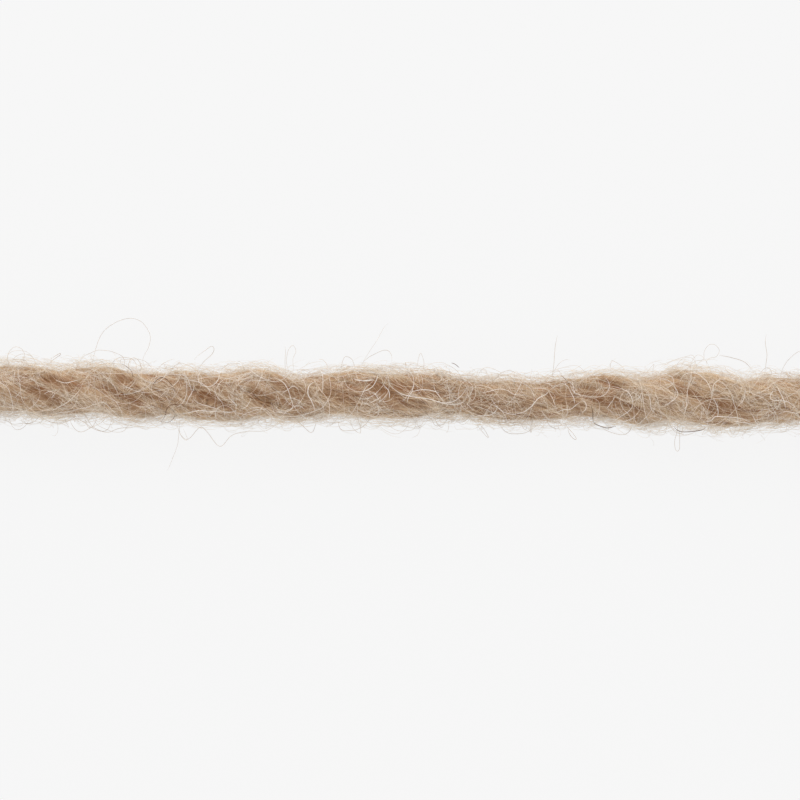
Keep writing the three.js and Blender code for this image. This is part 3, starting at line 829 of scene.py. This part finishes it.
greyHairs = [
    [(-16.05, 0.09), (-16.12, -0.33), (-16.05, -0.75), (-15.75, -1.0), (-15.35, -1.62), (-14.65, -1.9),
     (-14.0, -1.7), (-12.9, -1.62)],
    [(-15.4, 1.3), (-15.2, 2.3), (-14.85, 3.1), (-14.2, 3.6), (-13.5, 3.8), (-12.9, 3.6), (-12.5, 3.0),
     (-12.55, 2.4), (-12.85, 1.75), (-12.7, 1.2)],
    [(-5.7, 1.0), (-5.75, 1.6), (-5.72, 2.1), (-5.75, 2.4)],
    [(-5.5, 1.0), (-5.68, 1.6), (-5.58, 2.2), (-5.35, 2.45), (-5.2, 2.15), (-5.35, 1.75), (-5.3, 1.2)],
    [(-11.0, -1.1), (-11.0, -1.9), (-10.6, -2.25), (-10.0, -1.65), (-9.65, -1.85), (-9.0, -2.6),
     (-8.4, -2.05), (-7.65, -1.85), (-6.65, -1.8), (-6.0, -1.3)],
    [(0.8, 1.2), (1.0, 2.05), (1.15, 1.8), (1.2, 1.5), (1.1, 1.0)],
    [(-2.95, 1.2), (-2.9, 1.55), (-2.75, 1.88), (-2.45, 1.8), (-2.3, 1.5), (-2.2, 1.1)],
    [(7.6, 0.8), (7.7, 1.5), (7.73, 2.0), (7.78, 2.5), (7.88, 2.95)],
    [(14.5, 0.8), (14.48, 1.4), (14.75, 1.65), (15.15, 1.75), (15.2, 2.15), (15.45, 2.48), (15.75, 2.46),
     (15.95, 2.2), (15.8, 1.88), (15.45, 1.8), (15.3, 1.55), (15.5, 1.2)],
    [(15.95, 1.95), (16.5, 1.85), (17.2, 1.62), (17.6, 1.2)],
    [(13.9, -1.2), (13.85, -1.83), (13.72, -2.35), (13.78, -2.8), (13.95, -2.75), (13.97, -2.15),
     (14.0, -1.5)],
    [(18.2, 1.0), (18.28, 1.5), (18.33, 2.0), (18.25, 2.6), (18.3, 3.0)],
    [(1.5, -1.0), (1.75, -1.55), (2.15, -1.5), (2.4, -1.15), (2.45, -0.8)],
]
darkHairs = [
    [(-12.2, 0.45), (-12.1, 0.7), (-11.85, 0.83), (-11.6, 0.76), (-11.35, 0.5), (-11.1, 0.15)],
    [(-11.9, -1.41), (-11.7, -1.04), (-11.5, -0.69), (-11.2, -0.51), (-10.75, -0.5), (-10.5, -0.6)],
    [(-11.7, -1.42), (-11.4, -1.32), (-11.2, -1.0), (-11.3, -0.7)],
    [(-13.9, 1.53), (-13.55, 1.33), (-13.35, 1.1), (-13.2, 0.8)],
    [(-7.35, 0.15), (-7.0, -0.2), (-6.6, -0.45)],
    [(1.0, -0.65), (1.25, -0.85), (1.5, -1.2)],
    [(2.55, 1.57), (2.75, 1.5), (2.95, 1.33)],
    [(9.45, -0.55), (9.55, -0.9), (9.62, -1.25), (9.7, -1.45), (9.95, -1.57), (10.3, -1.67),
     (10.75, -1.6)],
    [(8.05, 0.95), (8.3, 0.7), (8.4, 0.5)],
    [(13.65, -1.65), (13.9, -1.83), (14.25, -1.87), (14.8, -1.82), (15.1, -1.74), (15.25, -1.62)],
]


def topOf(along, across):
    # the height of the packed fibre under a place, and of the strand's axis beside it
    heights = [axisHeight(along)]
    for number in range(len(plies)):
        angle, orbit, radius = packedSize(number, along)
        fromPly = across - middleOf(along) - orbit * math.cos(angle)
        rest = radius ** 2 - fromPly ** 2
        if rest > 0:
            heights.append(axisHeight(along) + orbit * math.sin(angle) + math.sqrt(rest))
    return max(heights)


def makeHairLines(name, hairs, over):
    # lines through a table's places, this far over the packed fibre
    points, edges = [], []
    for hair in hairs:
        edges += [(len(points) + i, len(points) + i + 1) for i in range(len(hair) - 1)]
        points += [(x * mm, y * mm, (topOf(x, y) + over) * mm) for x, y in hair]
    mesh = bpy.data.meshes.new(name)
    mesh.from_pydata(points, edges, [])
    return bpy.data.objects.new(name, mesh)


# each keeps a share of its width between the least and the most
placed = {"Hair width": 0.034 * mm, "Narrowest": 0.8, "Widest": 1.2, "Width seed": 7, "Step": 0.08 * mm,
          "Darkest": 0.5, "Seed": 61, "Material": looseFibre}


def makePlacedTree():
    tree, add, given = makeModifierTree("placedHairs", placed)
    lines = add("GeometryNodeMeshToCurve", {"Mesh": given["Geometry"]})
    rounded = add("GeometryNodeCurveSplineType", {"Curve": lines}, spline_type="CATMULL_ROM")
    even = add("GeometryNodeResampleCurve", {"Curve": rounded, "Length": given["Step"]}, mode="LENGTH")
    share = add("GeometryNodeSplineParameter").outputs["Factor"]
    hair = add("GeometryNodeCurveOfPoint").outputs["Curve Index"]
    shade = add("FunctionNodeRandomValue", {
        "Min": given["Darkest"], "Max": shading["palest"], "ID": hair, "Seed": given["Seed"]},
        data_type="FLOAT")
    own = add("FunctionNodeRandomValue", {
        "Min": given["Narrowest"], "Max": given["Widest"], "ID": hair, "Seed": given["Width seed"]},
        data_type="FLOAT")
    sweepHairs(add, given, even, share, shade, own)
    return tree


placedTree = makePlacedTree()
greyPlaced = {**placed, "Hair width": 0.022 * mm, "Material": flyFibre}
darkPlaced = {**placed, "Hair width": 0.036 * mm, "Darkest": 0.0, "Material": darkFibre}
heights = {"pale": 0.38, "grey": 0.2, "dark": 0.56}  # millimetres over the packed fibre
paleLines, greyLines, darkLines = [
    makeHairLines(f"{name}Lines", hairs, heights[name])
    for name, hairs in (("pale", paleHairs), ("grey", greyHairs), ("dark", darkHairs))]
pale = runTree(paleLines, placedTree, placed, "placed_pale")
grey = runTree(greyLines, placedTree, greyPlaced, "placed_grey")
fibres.append(runTree(darkLines, placedTree, darkPlaced, "guard_hairs"))
fibres.append(runTree(strandGuide, fibreTree, tips, "cut_end_hairs"))
looseHairs = runTree(strandGuide, fibreTree, loose, "loose_random")
flyaways = runTree(strandGuide, fibreTree, flyaway, "flyaway_random")
fibres += [joinPieces([looseHairs, pale], "loose_hairs"), joinPieces([flyaways, grey], "flyaway_hairs")]
for piece in [yarn, *fibres]:
    piece.data.calc_loop_triangles()
    print(piece.name, len(piece.data.loop_triangles))

shot = {"lens": 100.0, "sensor": 36.0, "across": 40 * mm, "aimY": -0.285 * mm, "aimZ": 1.3 * mm,
        "near": 0.001, "far": 10.0}
cameraData = bpy.data.cameras.new("camera")
cameraData.lens = shot["lens"]
cameraData.sensor_width = shot["sensor"]
cameraData.clip_start = shot["near"]
cameraData.clip_end = shot["far"]
camera = placeObject("camera", cameraData)
camera.location = (0.0, shot["aimY"], shot["aimZ"] + shot["across"] * shot["lens"] / shot["sensor"])
bpy.context.scene.camera = camera


def throughOrSeen(add):
    # one for the rays that show the background: seen straight, mirrored or through something clear
    ray = add("ShaderNodeLightPath").outputs
    either = add("ShaderNodeMath", {0: ray["Is Camera Ray"], 1: ray["Is Glossy Ray"]}, operation="MAXIMUM")
    return add("ShaderNodeMath", {0: either, 1: ray["Is Transmission Ray"]}, operation="MAXIMUM")


# the floor is seen as an even white with a little of how it is lit, and lights the strand as paper does
stage = {"reach": 2.0, "paper": "#F2F2F2", "backdrop": "#F7F7F7", "litShare": 0.06, "sky": 0.578}
far, near = stage["reach"], -stage["reach"]
floorMesh = bpy.data.meshes.new("floor")
floorMesh.from_pydata([(near, near, 0), (far, near, 0), (far, far, 0), (near, far, 0)], [], [(0, 1, 2, 3)])
floor = placeObject("floor", floorMesh)
paper = bpy.data.materials.new("paperWhiteMatt")  # white without an edge, with the faintest shade on it
add = emptyTree(paper)
seen = add("ShaderNodeMath", {0: throughOrSeen(add), 1: 1 - stage["litShare"]}, operation="MULTIPLY")
lit = add("ShaderNodeBsdfDiffuse", {"Color": colour(stage["paper"])})
plain = add("ShaderNodeEmission", {"Color": colour(stage["backdrop"]), "Strength": 1.0})
add("ShaderNodeOutputMaterial", {"Surface": add("ShaderNodeMixShader", {"Fac": seen, 1: lit, 2: plain})})
floorMesh.materials.append(paper)

world = bpy.data.worlds.new("studio")
bpy.context.scene.world = world
add = emptyTree(world)
soft = add("ShaderNodeBackground", {"Color": (1.0, 1.0, 1.0, 1.0), "Strength": stage["sky"]})
back = add("ShaderNodeBackground", {"Color": colour(stage["backdrop"]), "Strength": 1.0})
around = add("ShaderNodeMixShader", {"Fac": throughOrSeen(add), 1: soft, 2: back})
add("ShaderNodeOutputWorld", {"Surface": around})

# broad low lamps on both sides make the strand lighter at its edges than on top; watts, metres, degrees
lamps = {"key": 0.79, "fill": 0.345, "size": 0.25, "along": 0.05, "out": 0.276, "up": 0.14, "lean": 63}
for name, side in (("key", 1), ("fill", -1)):
    lampData = bpy.data.lights.new(name, "AREA")
    lampData.shape = "SQUARE"
    lampData.size = lamps["size"]
    lampData.energy = lamps[name]
    lamp = placeObject(name, lampData)
    lamp.location = (-lamps["along"] * side, lamps["out"] * side, lamps["up"])
    lamp.rotation_euler = (math.radians(-lamps["lean"] * side), 0, 0)

bpy.context.scene.view_settings.view_transform = "Standard"
print("stage")

for piece in [yarn, *fibres]:
    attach(piece, "root")
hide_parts("ply_a", "ply_b", "ply_c")
